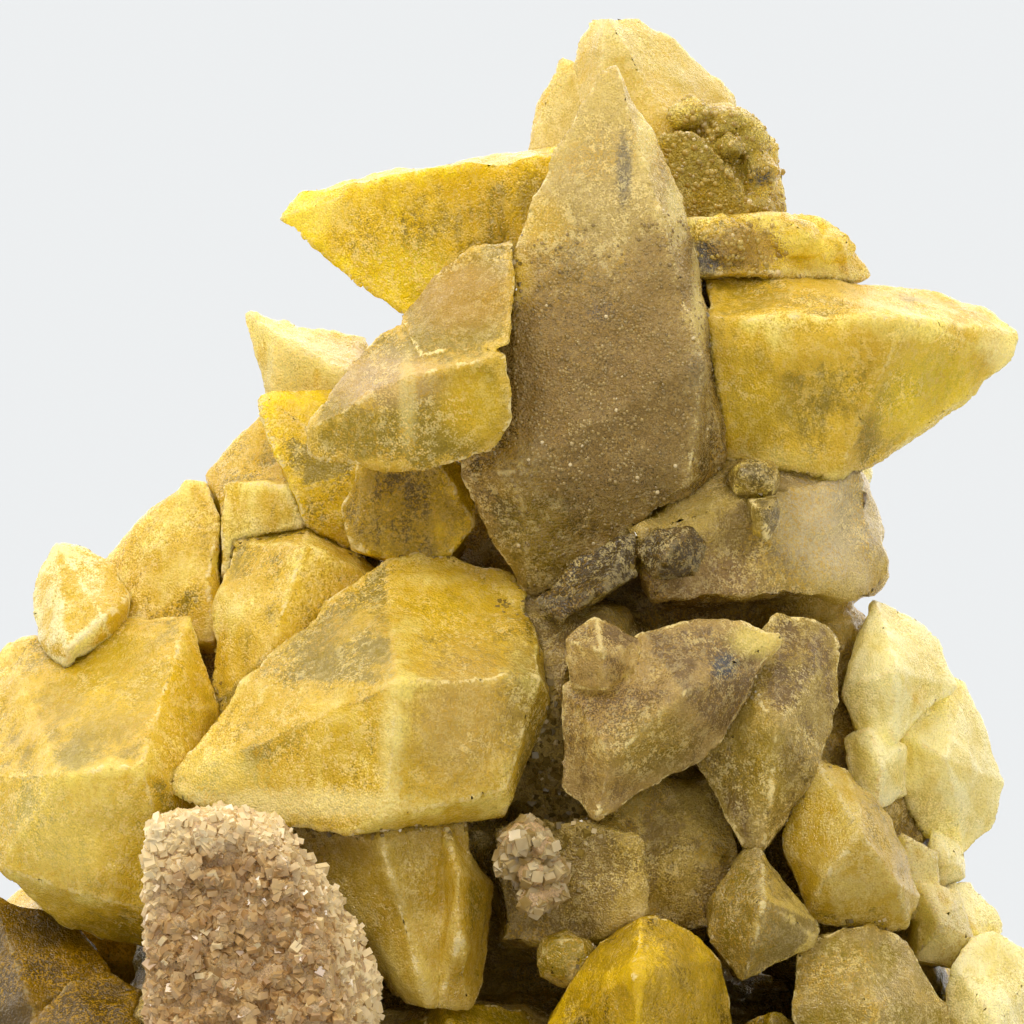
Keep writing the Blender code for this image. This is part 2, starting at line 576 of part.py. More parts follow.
BACK_RIGHT_CRYSTALS = [
    dogtooth((42, 30, 41), (14, 2, 32), 23, turn=26),
    dogtooth((46, 13, 34), (18, -2, 29), 19, turn=0),
    dogtooth((29, 40, 36), (14, 4, 28), 19, turn=12),
]

BACK_LOW_CRYSTALS = [
    dogtooth((-12, 48, 30), (-6, 8, 24), 27, turn=18),
    dogtooth((-29, 43, 14), (-10, 8, 14), 26, turn=-12),
    dogtooth((2, 45, 11), (0, 8, 12), 23, turn=8),
]

BACK_CORNER_CRYSTALS = [
    dogtooth((35, 43, 22), (14, 6, 18), 25, turn=5),
    dogtooth((48, 25, 13), (18, 4, 14), 24, turn=30),
    dogtooth((21, 46, 8), (14, 8, 10), 20, turn=-16),
]

LEFT_FOOT_CRYSTALS = [
    dogtooth((-55, 11, 20), (-24, 0, 18), 24, turn=12),
    dogtooth((-47, 30, 18), (-18, 6, 16), 24, turn=38),
    dogtooth((-49, 18, 6), (-18, 4, 8), 18, turn=0),
]

RIGHT_SIDE_CRYSTAL = [
    dogtooth((47, 9, 20), (22, 0, 22), 17, turn=16),
]

# Each piece is named once, from the nearest to the farthest, with its colour and its shapes.
PIECES = [
    ("drusy_slab", "druse", DRUSE_PINK, DRUSY_SLAB),
    ("big_front_crystal", "calcite_gold", CALCITE_GOLD, BIG_FRONT_CRYSTAL),
    ("amber_front_crystal", "calcite_amber", CALCITE_AMBER, AMBER_FRONT_CRYSTAL),
    ("side_crystal", "calcite_gold", CALCITE_GOLD, SIDE_CRYSTAL),
    ("grey_spot_crystal", "calcite_brown", CALCITE_BROWN, GREY_SPOT_CRYSTAL),
    ("grape_lumps", "druse", DRUSE_PINK, GRAPE_LUMPS),
    ("hanging_crystals", "calcite_gold", CALCITE_GOLD, HANGING_CRYSTALS),
    ("lower_right_crystal", "calcite_pale", CALCITE_PALE, LOWER_RIGHT_CRYSTAL),
    ("clear_right_crystals", "calcite_pale", CALCITE_PALE, CLEAR_RIGHT_CRYSTAL),
    ("corner_crystal", "calcite_gold", CALCITE_GOLD, CORNER_CRYSTAL),
    ("right_foot_crystals", "calcite_pale", CALCITE_PALE, RIGHT_FOOT_CRYSTALS),
    ("hanging_brown_crystal", "calcite_brown", CALCITE_BROWN, HANGING_BROWN_CRYSTAL),
    ("spear_crystal", "calcite_brown", CALCITE_BROWN, SPEAR),
    ("hanging_nub", "calcite_gold", CALCITE_GOLD, HANGING_NUB),
    ("grey_block", "calcite_pale", CALCITE_PALE, GREY_BLOCK),
    ("low_grey_crystal", "calcite_brown", CALCITE_BROWN, LOW_GREY_CRYSTAL),
    ("round_crystal", "calcite_pale", CALCITE_PALE, ROUND_CRYSTAL),
    ("big_left_crystal", "calcite_gold", CALCITE_GOLD, BIG_LEFT_CRYSTAL),
    ("ridge_crystal", "calcite_gold", CALCITE_GOLD, RIDGE_CRYSTAL),
    ("lower_left_crystals", "calcite_amber", CALCITE_AMBER, LOWER_LEFT_CRYSTALS),
    ("lower_front_crystals", "calcite_amber", CALCITE_AMBER, LOWER_FRONT_CRYSTALS),
    ("front_foot_crystal", "calcite_amber", CALCITE_AMBER, FRONT_FOOT_CRYSTAL),
    ("dark_hollow_crystal", "calcite_gold", CALCITE_GOLD, DARK_HOLLOW_CRYSTAL),
    ("amber_left_crystal", "calcite_amber", CALCITE_AMBER, AMBER_LEFT_CRYSTAL),
    ("edge_crystal", "calcite_pale", CALCITE_PALE, EDGE_CRYSTAL),
    ("pale_right_crystals", "calcite_pale", CALCITE_PALE, PALE_RIGHT_CRYSTALS),
    ("pale_corner_crystals", "calcite_pale", CALCITE_PALE, PALE_CORNER_CRYSTALS),
    ("right_blade_crystal", "calcite_gold", CALCITE_GOLD, RIGHT_BLADE),
    ("cream_lump", "calcite_pale", CALCITE_PALE, CREAM_LUMP),
    ("left_shoulder_crystals", "calcite_gold", CALCITE_GOLD, LEFT_SHOULDER),
    ("slope_crystal", "calcite_gold", CALCITE_GOLD, SLOPE_CRYSTAL),
    ("left_blade_crystal", "calcite_amber", CALCITE_AMBER, LEFT_BLADE),
    ("lemon_crystal", "calcite_pale", CALCITE_PALE, LEMON_CRYSTAL),
    ("crown_crystals", "calcite_brown", CALCITE_BROWN, CROWN),
    ("ledge_crystals", "calcite_gold", CALCITE_GOLD, LEDGE),
    ("summit_crystals", "calcite_gold", CALCITE_GOLD, SUMMIT),
    ("back_top_crystals", "calcite_gold", CALCITE_GOLD, BACK_TOP_CRYSTALS),
    ("back_shoulder_crystals", "calcite_pale", CALCITE_PALE, BACK_SHOULDER_CRYSTALS),
    ("back_upper_left_crystals", "calcite_gold", CALCITE_GOLD, BACK_UPPER_LEFT_CRYSTALS),
    ("back_middle_crystals", "calcite_gold", CALCITE_GOLD, BACK_MIDDLE_CRYSTALS),
    ("back_left_crystals", "calcite_gold", CALCITE_GOLD, BACK_LEFT_CRYSTALS),
    ("back_right_crystals", "calcite_pale", CALCITE_PALE, BACK_RIGHT_CRYSTALS),
    ("back_low_crystals", "calcite_amber", CALCITE_AMBER, BACK_LOW_CRYSTALS),
    ("back_corner_crystals", "calcite_gold", CALCITE_GOLD, BACK_CORNER_CRYSTALS),
    ("left_foot_crystals", "calcite_gold", CALCITE_GOLD, LEFT_FOOT_CRYSTALS),
    ("right_side_crystal", "calcite_pale", CALCITE_PALE, RIGHT_SIDE_CRYSTAL),
]


def joined(name, shapes):
    """One body from shapes that grew into each other."""
    body = body_from(convex_mesh(shapes[0]), name)
    for shape in shapes[1:]:
        combine(body, body_from(convex_mesh(shape), "grown_in"), "UNION")
    return body


def build():
    """Make every piece, each stopping short of those made before it."""
    clear_scene()
    matrix = joined("matrix", MATRIX)
    cut_base(matrix)
    tidy(matrix)
    matrix.data.materials.clear()
    matrix.data.materials.append(material("matrix", MATRIX_BROWN))
    placed = list(MATRIX)
    for name, slot, colour, shapes in PIECES:
        body = joined(name, shapes)
        for other in placed:
            if any(near(other, shape) for shape in shapes):
                combine(body, body_from(grown_mesh(other, GAP), "clearance"), "DIFFERENCE")
        cut_base(body)
        tidy(body)
        body.data.materials.clear()
        body.data.materials.append(material(slot, colour))
        placed.extend(shapes)


build()
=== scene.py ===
"""A golden dog-tooth calcite specimen on its matrix: worn crystals, druse, grains, light and camera."""

import itertools
import math

import bmesh
import bpy
import numpy as np
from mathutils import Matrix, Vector
from mathutils.bvhtree import BVHTree
from mathutils.kdtree import KDTree


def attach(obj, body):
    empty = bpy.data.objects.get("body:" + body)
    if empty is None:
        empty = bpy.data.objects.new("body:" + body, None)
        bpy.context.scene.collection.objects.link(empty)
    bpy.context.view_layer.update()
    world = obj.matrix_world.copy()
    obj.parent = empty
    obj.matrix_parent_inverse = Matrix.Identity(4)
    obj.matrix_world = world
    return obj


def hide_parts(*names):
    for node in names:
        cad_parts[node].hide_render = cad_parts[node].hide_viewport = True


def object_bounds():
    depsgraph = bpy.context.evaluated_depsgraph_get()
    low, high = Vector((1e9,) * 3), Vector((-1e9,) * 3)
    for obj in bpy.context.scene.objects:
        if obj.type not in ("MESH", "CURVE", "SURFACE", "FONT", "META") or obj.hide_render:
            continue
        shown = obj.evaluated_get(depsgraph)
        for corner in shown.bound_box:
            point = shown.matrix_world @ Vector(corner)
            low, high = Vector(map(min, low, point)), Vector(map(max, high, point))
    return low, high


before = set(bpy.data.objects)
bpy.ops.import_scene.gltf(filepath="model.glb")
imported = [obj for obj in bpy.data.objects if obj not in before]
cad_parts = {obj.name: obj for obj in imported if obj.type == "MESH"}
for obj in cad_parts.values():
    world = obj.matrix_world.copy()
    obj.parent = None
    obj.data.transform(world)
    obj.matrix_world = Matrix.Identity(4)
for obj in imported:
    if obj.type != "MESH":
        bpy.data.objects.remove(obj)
cad_low, cad_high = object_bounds()

MM = 0.001

# Where the photograph looks, how wide it sees, and from how far.
VIEW_CENTRE = Vector((0.0, -0.025, 0.0632))
VIEW_WIDTH = 0.1024
VIEW_DISTANCE = 4.0
VIEW_DOWN = math.radians(1.0)
SENSOR = 36.0

# The light tent's radiance before, behind and above the specimen, what the camera sees of it,
# and the strengths and colours of the lamps. The floor's shade makes a pale even backdrop in it.
TENT_FRONT = 0.3
TENT_BACK = 2.4
TENT_TOP = 1.06
TENT_SEEN = 0.85
KEY_STRENGTH = 1.25
GLINT_STRENGTH = 0.46
FLOOR_SHADE = (0.449, 0.474, 0.513, 1.0)
TENT_COLOUR = (1.0, 0.966, 0.9, 1.0)
LAMP_COLOUR = (1.0, 0.963, 0.9)

# Mesh steps in mm: fine on the crystals in front, coarser behind and on the matrix.
FINE = 0.3
COARSE = 0.55
ROUGH = 0.8

# Edges between these angles go from no ridge to a full one. Points this far from one, in mesh
# steps, are moved onto it, and the ridges are marked out by places this far apart, in mm.
DULL_EDGE = math.radians(14)
SHARP_EDGE = math.radians(60)
EDGE_HOLD = 0.8
EDGE_STEP = 0.12

# How far light gets in calcite in mm, how much is left of it behind a neighbour, and how far away
# a neighbour still counts as touching.
GLOW_REACH = 9.0
BLOCKED_LIGHT = 0.25
JOIN_REACH = 1.6

# How deep strewn crystals sit in what they grow on, in mm for one of unit size.
SUNK = 0.28

# How far strewn crystals lean from upright, in radians, and how wide the clumps they stand in
# are, in mm.
LEAN = 0.9
CLUMP = 2.0

# Settings that many shader nodes share: a range with eased ends, and a mix of colours.
SMOOTH = {"interpolation_type": "SMOOTHSTEP"}
COLOURS = {"data_type": "RGBA", "out": 2}

# Calcite bends light this much, and light spreads this far in a crystal and in a grain, in mm.
CALCITE_IOR = 1.6
CRYSTAL_SPREAD = 7.0
GRAIN_SPREAD = 0.5

# Patterns on a crystal: how many lumps fit in a mm, how many finer layers there are and how
# strong those are.
PATTERNS = {
    "clouds": (0.24, 1.0, 0.6),
    "uneven": (0.13, 1.0, 0.6),
    "stained": (0.16, 0.0, 0.6),
    "frosted": (0.9, 2.0, 0.85),
    "broken": (0.6, 0.0, 0.6),
    "fine": (2.4, 1.0, 0.9),
    "grit": (6.0, 0.0, 0.6),
}

# Growth streaks: how many fit in a mm across, and what share of that fits upwards.
STREAKS = 1.3
STREAK_UPWARDS = 0.14

# Etch pits are this deep, in mm.
PIT_DEPTH = 0.35

# Calcite and what lies on it, as sRGB colours.
STRAW = "#EFD66C"
HONEY = "#D6AE28"
CANARY = "#F0CF14"
GOLD = "#DBB20E"
AMBER = "#AC8A0C"
DARK_AMBER = "#665005"
LEMON = "#F6E08C"
CREAM = "#F6DE94"
OCHRE = "#B5890A"
SMOKE = "#9E843A"
DARK_SMOKE = "#685624"
OLIVE = "#927A16"
BROWN = "#4A3606"
ROSE_CREAM = "#CCA872"
ROSE_BROWN = "#987442"
SUGAR = "#F0D6A2"
SLATE = "#45474A"
PITCH = "#1E180C"
TAN = "#A27E38"
SAND = "#BEA45E"
BISCUIT = "#B8964A"
BURNT_GOLD = "#A87F10"
PEAT = "#5A4618"
GREY_CREAM = "#C8B488"
MAUVE = "#8C6C40"
MAUVE_BROWN = "#947644"


def camera():
    """A long lens level with the specimen, so that near and far crystals keep their size."""
    lens = bpy.data.cameras.new("camera")
    lens.sensor_width = SENSOR
    lens.lens = SENSOR * VIEW_DISTANCE / VIEW_WIDTH
    lens.clip_start = 0.1
    lens.clip_end = 300.0
    holder = bpy.data.objects.new("camera", lens)
    bpy.context.scene.collection.objects.link(holder)
    back = Vector((0.0, -math.cos(VIEW_DOWN), math.sin(VIEW_DOWN)))
    holder.location = VIEW_CENTRE + back * VIEW_DISTANCE
    holder.rotation_euler = (math.pi / 2 - VIEW_DOWN, 0.0, 0.0)
    bpy.context.scene.camera = holder


def lamp(name, towards, strength, spread, colour=(1.0, 1.0, 1.0)):
    """A far soft light that shines along a direction, as wide as the spread in degrees."""
    sun = bpy.data.lights.new(name, "SUN")
    sun.energy = strength
    sun.angle = math.radians(spread)
    sun.color = colour
    holder = bpy.data.objects.new(name, sun)
    bpy.context.scene.collection.objects.link(holder)
    holder.rotation_euler = Vector(towards).to_track_quat("-Z", "Y").to_euler()


def linear(colour):
    """An sRGB hex colour as the linear colour that shaders take."""
    channels = [int(colour[at:at + 2], 16) / 255 for at in (1, 3, 5)]
    return [c / 12.92 if c <= 0.04045 else ((c + 0.055) / 1.055) ** 2.4 for c in channels] + [1.0]


def node(tree, kind, *values, out=0, sockets=None, **settings):
    """Add a node with its settings and give one of its outputs. The values fill its sockets in
    order, and others by name; each is a plain value or another node's output."""
    made = tree.nodes.new(kind if "Node" in kind else "ShaderNode" + kind)
    for key, value in settings.items():
        setattr(made, key, value)
    for key, value in itertools.chain(enumerate(values), (sockets or {}).items()):
        if isinstance(value, bpy.types.NodeSocket):
            tree.links.new(value, made.inputs[key])
        else:
            made.inputs[key].default_value = value
    return made.outputs[out]


def studio():
    """A pale floor in a light tent that is brightest behind the specimen, and a soft key lamp."""
    scene = bpy.context.scene
    world = bpy.data.worlds.new("light_tent")
    world.use_nodes = True
    tree = world.node_tree
    sky = tree.nodes["Background"]
    sky.inputs["Color"].default_value = TENT_COLOUR
    towards = node(tree, "TexCoord", out="Generated")
    axes = node(tree, "SeparateXYZ", towards).node.outputs
    behind = node(tree, "MapRange", axes["Y"], -0.1, 0.95, TENT_FRONT, TENT_BACK, **SMOOTH)
    above = node(tree, "MapRange", axes["Z"], 0.1, 1.0, 0.0, TENT_TOP, **SMOOTH)
    both = node(tree, "Math", behind, above, operation="ADD")
    seen = node(tree, "LightPath", out="Is Camera Ray")
    level = node(tree, "Mix", seen, sockets={2: both, 3: TENT_SEEN})
    tree.links.new(level, sky.inputs["Strength"])
    scene.world = world
    lamp("key_lamp", (0.4, 0.5, -0.78), KEY_STRENGTH, 18, LAMP_COLOUR)
    lamp("glint_lamp", (-0.5, 0.8, -0.5), GLINT_STRENGTH, 3)
    scene.view_settings.view_transform = "Standard"
    bpy.ops.mesh.primitive_plane_add(size=400.0, location=(0, 0, 0))
    floor = bpy.context.object
    floor.name = "floor"
    paper = bpy.data.materials.new("matt_paper")
    paper.use_nodes = True
    shader = paper.node_tree.nodes["Principled BSDF"]
    shader.inputs["Base Color"].default_value = FLOOR_SHADE
    shader.inputs["Roughness"].default_value = 1.0
    shader.inputs["Specular IOR Level"].default_value = 0.0
    floor.data.materials.append(paper)


def alone(piece):
    """Select one piece and make it active."""
    bpy.ops.object.select_all(action="DESELECT")
    piece.hide_set(False)
    piece.select_set(True)
    bpy.context.view_layer.objects.active = piece


def apply_all(piece):
    """Apply a piece's modifiers in order."""
    alone(piece)
    for change in list(piece.modifiers):
        bpy.ops.object.modifier_apply(modifier=change.name)


def merged_copy(node_name, name):
    """A copy of a solid from the frame, with its loose triangles merged."""
    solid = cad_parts[node_name]
    piece = bpy.data.objects.new(name, solid.data.copy())
    bpy.context.scene.collection.objects.link(piece)
    piece.data.materials.clear()
    alone(piece)
    bpy.ops.object.mode_set(mode="EDIT")
    bpy.ops.mesh.select_all(action="SELECT")
    bpy.ops.mesh.remove_doubles(threshold=1e-6)
    bpy.ops.object.mode_set(mode="OBJECT")
    return piece


def relief(name, kind, size, **settings):
    """A texture that pushes a surface in and out, with lumps of one size in millimetres."""
    texture = bpy.data.textures.new(name, kind)
    texture.noise_scale = size * MM
    for key, value in settings.items():
        setattr(texture, key, value)
    return texture


def displace(piece, texture, depth, middle=0.5, group=""):
    """Push a piece's surface by a texture, by a depth in millimetres."""
    push = piece.modifiers.new("push", "DISPLACE")
    push.texture = texture
    push.texture_coords = "LOCAL"
    push.strength = depth * MM
    push.mid_level = middle
    push.vertex_group = group


def remesh(piece, voxel):
    """Give a piece an even fine mesh, with steps in millimetres."""
    grid = piece.modifiers.new("grid", "REMESH")
    grid.mode = "VOXEL"
    grid.voxel_size = voxel * MM


def points_of(mesh):
    """A mesh's points and normals as two arrays of rows."""
    points = np.empty(len(mesh.vertices) * 3, dtype=np.float32)
    normals = np.empty(len(mesh.vertices) * 3, dtype=np.float32)
    mesh.vertices.foreach_get("co", points)
    mesh.vertices.foreach_get("normal", normals)
    return points.reshape(-1, 3), normals.reshape(-1, 3)


def neighbours(mesh):
    """A function that averages one number a point over the points joined to it by edges."""
    count = len(mesh.vertices)
    ends = np.empty(len(mesh.edges) * 2, dtype=np.int32)
    mesh.edges.foreach_get("vertices", ends)
    one, two = ends.reshape(-1, 2).T
    degree = np.maximum(np.bincount(one, minlength=count) + np.bincount(two, minlength=count), 1)

    def average(values):
        total = np.bincount(one, values[two], count) + np.bincount(two, values[one], count)
        return total / degree

    return average


def ridges_of(solid):
    """Places along a solid's outward edges, and at each how sharp the edge is, from none to one."""
    shape = bmesh.new()
    shape.from_mesh(solid.data)
    places = []
    for edge in shape.edges:
        if len(edge.link_faces) != 2 or not edge.is_convex:
            continue
        keen = min(max((edge.calc_face_angle(0.0) - DULL_EDGE) / (SHARP_EDGE - DULL_EDGE), 0.0), 1.0)
        if keen == 0.0:
            continue
        start, end = (corner.co for corner in edge.verts)
        steps = max(int((end - start).length / (EDGE_STEP * MM)), 1)
        places.extend((start.lerp(end, at / steps), keen) for at in range(steps + 1))
    shape.free()
    tree = KDTree(len(places))
    for at, (place, _) in enumerate(places):
        tree.insert(place, at)
    tree.balance()
    return tree, [keen for _, keen in places]


def rims(points, solid, hold):
    """Each point's distance in mm to its solid's nearest outward edge, how sharp that is, and the
    points again, with those closer than the hold moved onto the edge."""
    tree, sharpness = ridges_of(solid)
    away = np.full(len(points), 9.0)
    keen = np.zeros(len(points))
    held = points.copy()
    for at, point in enumerate(points.tolist()):
        place, found, distance = tree.find(point)
        if found is None:
            continue
        away[at] = distance / MM
        keen[at] = sharpness[found]
        if away[at] < hold and keen[at] > 0.3:
            held[at] = place
    return away, keen, held


def mark(piece, name, values):
    """Keep one number a point on the piece, for its material."""
    layer = piece.data.attributes.new(name, "FLOAT", "POINT")
    layer.data.foreach_set("value", np.asarray(values, dtype=np.float32))


def weigh(piece, name, values, levels=8):
    """A vertex group from one number a point, kept to a few levels."""
    group = piece.vertex_groups.new(name=name)
    steps = np.round(np.clip(values, 0.0, 1.0) * levels).astype(int)
    for level in range(1, levels + 1):
        group.add(np.nonzero(steps == level)[0].tolist(), level / levels, "REPLACE")


def tree_of(names):
    """A search tree over the triangles of some of the frame's solids."""
    corners = []
    faces = []
    for name in names:
        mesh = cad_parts[name].data
        start = len(corners)
        corners.extend(points_of(mesh)[0].tolist())
        faces.extend([start + at for at in face.vertices] for face in mesh.polygons)
    return BVHTree.FromPolygons(corners, faces)


def nearness(piece, own_node, reach):
    """How close each point is to the neighbouring solids: one where they touch, none past reach."""
    points, _ = points_of(piece.data)
    low = points.min(axis=0) - reach
    high = points.max(axis=0) + reach
    beside = []
    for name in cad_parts:
        others, _ = points_of(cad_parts[name].data)
        apart = (others.min(axis=0) > high).any() or (others.max(axis=0) < low).any()
        if name != own_node and not apart:
            beside.append(name)
    tree = tree_of(beside)
    value = np.zeros(len(points))
    for at, point in enumerate(points.tolist()):
        found = tree.find_nearest(point, reach)
        if found[0] is not None:
            value[at] = 1.0 - found[3] / reach
    return value


def glow(piece, own_node, every=14, rounds=14):
    """How much light comes through the crystal to each point, to be painted into its colour: most where it
    is thin and free.
    """
    own = tree_of([own_node])
    points, normals = points_of(piece.data)
    average = neighbours(piece.data)
    known = np.zeros(len(points))
    value = np.zeros(len(points))
    for at in range(0, len(points), every):
        start = Vector(points[at].tolist())
        outward = Vector(normals[at].tolist())
        seen = []
        for way in WAYS:
            if way.dot(outward) > -0.2:
                continue
            found = own.ray_cast(start + way * 0.4 * MM, way)
            through = found[3] if found[0] is not None else 0.0
            far = start + way * (through + 1.2 * MM)
            blocked = EVERYTHING.ray_cast(far, way, 40 * MM)[0] is not None
            seen.append(math.exp(-through / (GLOW_REACH * MM)) * (BLOCKED_LIGHT if blocked else 1.0))
        known[at] = 1.0
        value[at] = sum(seen) / max(len(seen), 1)
    for _ in range(rounds):
        value = 0.4 * value + 0.6 * average(value)
        known = 0.4 * known + 0.6 * average(known)
    return value / np.maximum(known, 1e-9)


def hold_in_box(piece):
    """Keep every point of a piece inside the frame's own box."""
    points, _ = points_of(piece.data)
    inside = np.clip(points, np.array(cad_low) + 0.02 * MM, np.array(cad_high) - 0.02 * MM)
    piece.data.vertices.foreach_set("co", inside.ravel())
    piece.data.update()


def cover(points, spots):
    """How much a set of round patches (x, z, half width, half height, strength) covers each point."""
    value = np.zeros(len(points))
    for x, z, wide, high, strength in spots:
        away = np.hypot((points[:, 0] / MM - x) / wide, (points[:, 2] / MM - z) / high)
        value = np.maximum(value, strength * np.clip(1.6 - 1.1 * away, 0.0, 1.0))
    return value


def facet_tones(piece):
    """A number from none to one for each way a flat face looks, so that facets differ in tone."""
    _, normals = points_of(piece.data)
    return 0.5 + 0.5 * np.sin(normals @ np.array((7.3, 11.7, 5.1)) + len(piece.name))


def worn_crystal(node_name, voxel):
    """A crystal with gently uneven faces, an etched grain and a few nicked edges, from its solid."""
    solid = merged_copy(node_name, node_name + "_solid")
    piece = merged_copy(node_name, node_name + "_worn")
    remesh(piece, voxel)
    apply_all(piece)
    points, _ = points_of(piece.data)
    away, keen, held = rims(points, solid, voxel * EDGE_HOLD)
    bpy.data.objects.remove(solid)
    piece.data.vertices.foreach_set("co", held.ravel())
    piece.data.update()
    mark(piece, "rim", away)
    mark(piece, "keen", keen)
    mark(piece, "facet", facet_tones(piece))
    weigh(piece, "edges", keen * np.clip(1.0 - away / 0.9, 0.0, 1.0))
    displace(piece, TEXTURES["swell"], 0.3, -0.2)
    displace(piece, TEXTURES["steps"], 0.26)
    displace(piece, TEXTURES["etching"], 0.1)
    displace(piece, TEXTURES["nicks"], 0.2, 1.0, "edges")
    if node_name == "matrix":
        displace(piece, TEXTURES["lumps"], 2.2, 0.6)
    apply_all(piece)
    piece.vertex_groups.clear()
    hold_in_box(piece)
    points, _ = points_of(piece.data)
    mark(piece, "join", nearness(piece, node_name, JOIN_REACH * MM))
    mark(piece, "glow", glow(piece, node_name))
    mark(piece, "coat", cover(points, COATS.get(node_name, ())))
    piece.data.shade_smooth()
    return piece


# The directions that light comes from, and all the solids that can stand in its way.
WAYS = [Vector(way).normalized() for way in itertools.product((-1, 0, 1), repeat=3) if any(way)]
EVERYTHING = tree_of(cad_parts)

TEXTURES = {
    "swell": relief("swell", "CLOUDS", 6.0, noise_depth=2),
    "steps": relief("steps", "CLOUDS", 6.0, noise_depth=3, contrast=5.0),
    "lumps": relief("lumps", "CLOUDS", 5.0, noise_depth=3, contrast=1.4),
    "etching": relief("etching", "CLOUDS", 0.9, noise_depth=2),
    "nicks": relief("nicks", "CLOUDS", 2.6, noise_depth=2, contrast=5.0, intensity=2.3),
}

# The numbers that each point of a worn crystal keeps for its material: how far the nearest edge
# is, how sharp it is, its facet's tone, how near a neighbour is, the light through it, its coat.
MARKS = ("rim", "keen", "facet", "join", "glow", "coat")

# Where a granular coat lies on a crystal: x, z, half width and half height in mm, and how thick.
COATS = {
    "spear_crystal": ((9.0, 75.0, 11.0, 12.0, 1.0), (14.5, 86.0, 4.0, 6.0, 0.8),
                      (6.0, 63.0, 6.0, 6.0, 0.5)),
    "crown_crystals": ((20.0, 99.0, 6.0, 5.0, 1.0), (22.0, 93.5, 6.0, 2.5, 0.8)),
    "ledge_crystals": ((23.5, 89.5, 4.0, 2.5, 0.9),),
    "grape_lumps": ((3.0, 29.0, 9.0, 12.0, 1.0),),
    "grey_spot_crystal": ((9.0, 46.0, 6.0, 5.0, 0.5), (16.0, 44.0, 9.0, 6.0, 0.3)),
    "matrix": ((4.0, 36.0, 4.0, 8.0, 1.0),),
    "drusy_slab": ((-25.0, 18.0, 30.0, 30.0, 1.0),),
}


def paint(name):
    """A new material with its nodes, its shader, and the place on the piece in mm."""
    material = bpy.data.materials.new(name)
    material.use_nodes = True
    tree = material.node_tree
    place = node(tree, "TexCoord", out="Object")
    mm = node(tree, "Mapping", place, sockets={"Scale": (1 / MM, 1 / MM, 1 / MM)})
    return material, tree, tree.nodes["Principled BSDF"], mm


def feed(shader, sockets):
    """Link outputs to a shader's sockets, or set plain values on them."""
    for name, value in sockets.items():
        if isinstance(value, bpy.types.NodeSocket):
            shader.id_data.links.new(value, shader.inputs[name])
        else:
            shader.inputs[name].default_value = value


def shift(tree, value, by, base):
    """The base, moved up and down by how far a value is from its middle."""
    middle = node(tree, "Math", value, 0.5, operation="SUBTRACT")
    return node(tree, "Math", middle, by, base, operation="MULTIPLY_ADD")


def from_spot(tree, mm, x, z, wide, high):
    """How far a place is from an oval spot seen from the front: one on the spot's rim."""
    away = node(tree, "VectorMath", mm, (x, 0.0, z), operation="SUBTRACT")
    away = node(tree, "VectorMath", away, (1 / wide, 0.0, 1 / high), operation="MULTIPLY")
    return node(tree, "VectorMath", away, operation="LENGTH", out="Value")


def skin_of(tree, mm):
    """What a worn crystal's colour, frost and etching read: its own marks and the patterns."""
    skin = {kind: node(tree, "Attribute", attribute_name=kind, out="Fac") for kind in MARKS}
    for name, (often, layers, strength) in PATTERNS.items():
        sockets = {"Scale": often, "Detail": layers, "Roughness": strength}
        skin[name] = node(tree, "TexNoise", mm, sockets=sockets)
    patchy = node(tree, "MapRange", skin["uneven"], 0.42, 0.6, 0.5, 1.0, **SMOOTH)
    skin["coarse"] = node(tree, "Math", patchy, skin["coat"], operation="MAXIMUM")
    skin["rim"] = node(tree, "Math", skin["rim"], shift(tree, skin["fine"], 0.5, 0.0), operation="ADD")
    return skin


def body_colour(tree, mm, skin, dim, body, bright, lift):
    """Painted light: dark where the crystal is thick and hidden, bright where light comes through it, and
    lighter along sharp edges.
    """
    streaked = node(tree, "Mapping", mm, sockets={"Scale": (1.0, 1.0, STREAK_UPWARDS)})
    streaks = node(tree, "TexNoise", streaked, sockets={"Scale": STREAKS, "Detail": 0.0})
    # The light through each point, raised or lowered for each crystal by lift, is painted into the colour.
    light = node(tree, "Math", skin["glow"], lift, operation="ADD")
    light = shift(tree, skin["clouds"], 0.5, light)
    light = shift(tree, skin["facet"], 0.22, light)
    light = shift(tree, streaks, 0.22, light)
    speckle = shift(tree, skin["fine"], 0.4, shift(tree, skin["grit"], 0.25, 0.0))
    light = node(tree, "Math", speckle, skin["coarse"], light, operation="MULTIPLY_ADD")
    # A painted highlight along the sharp edges.
    lit_edge = node(tree, "MapRange", skin["rim"], 1.0, 0.1, 0.0, 0.08, **SMOOTH)
    light = node(tree, "Math", lit_edge, skin["keen"], light, operation="MULTIPLY_ADD")
    some = node(tree, "MapRange", light, 0.0, 0.26, 0.0, 1.0, **SMOOTH)
    much = node(tree, "MapRange", light, 0.26, 0.55, 0.0, 1.0, **SMOOTH)
    colour = node(tree, "Mix", some, sockets={6: linear(dim), 7: linear(body)}, **COLOURS)
    return node(tree, "Mix", much, sockets={6: colour, 7: linear(bright)}, **COLOURS)


def patched(tree, mm, skin, colour, patches):
    """The colour with soft uneven patches of other colours over it."""
    for x, z, wide, high, over, strength in patches:
        away = from_spot(tree, mm, x, z, wide, high)
        away = node(tree, "Math", skin["fine"], 0.8, away, operation="MULTIPLY_ADD")
        covered = node(tree, "MapRange", away, 1.7, 0.8, 0.0, strength, **SMOOTH)
        colour = node(tree, "Mix", covered, sockets={6: colour, 7: linear(over)}, **COLOURS)
    return colour


def stained(tree, skin, colour, strength):
    """The colour with specks of iron stain, here and there."""
    region = node(tree, "MapRange", skin["stained"], 0.42, 0.58, 0.0, 1.0, **SMOOTH)
    specks = shift(tree, skin["grit"], 0.5, skin["fine"])
    specks = node(tree, "MapRange", specks, 0.5, 0.62, 0.0, strength, **SMOOTH)
    specks = node(tree, "Math", region, specks, operation="MULTIPLY")
    return node(tree, "Mix", specks, sockets={6: colour, 7: linear(OCHRE)}, **COLOURS)


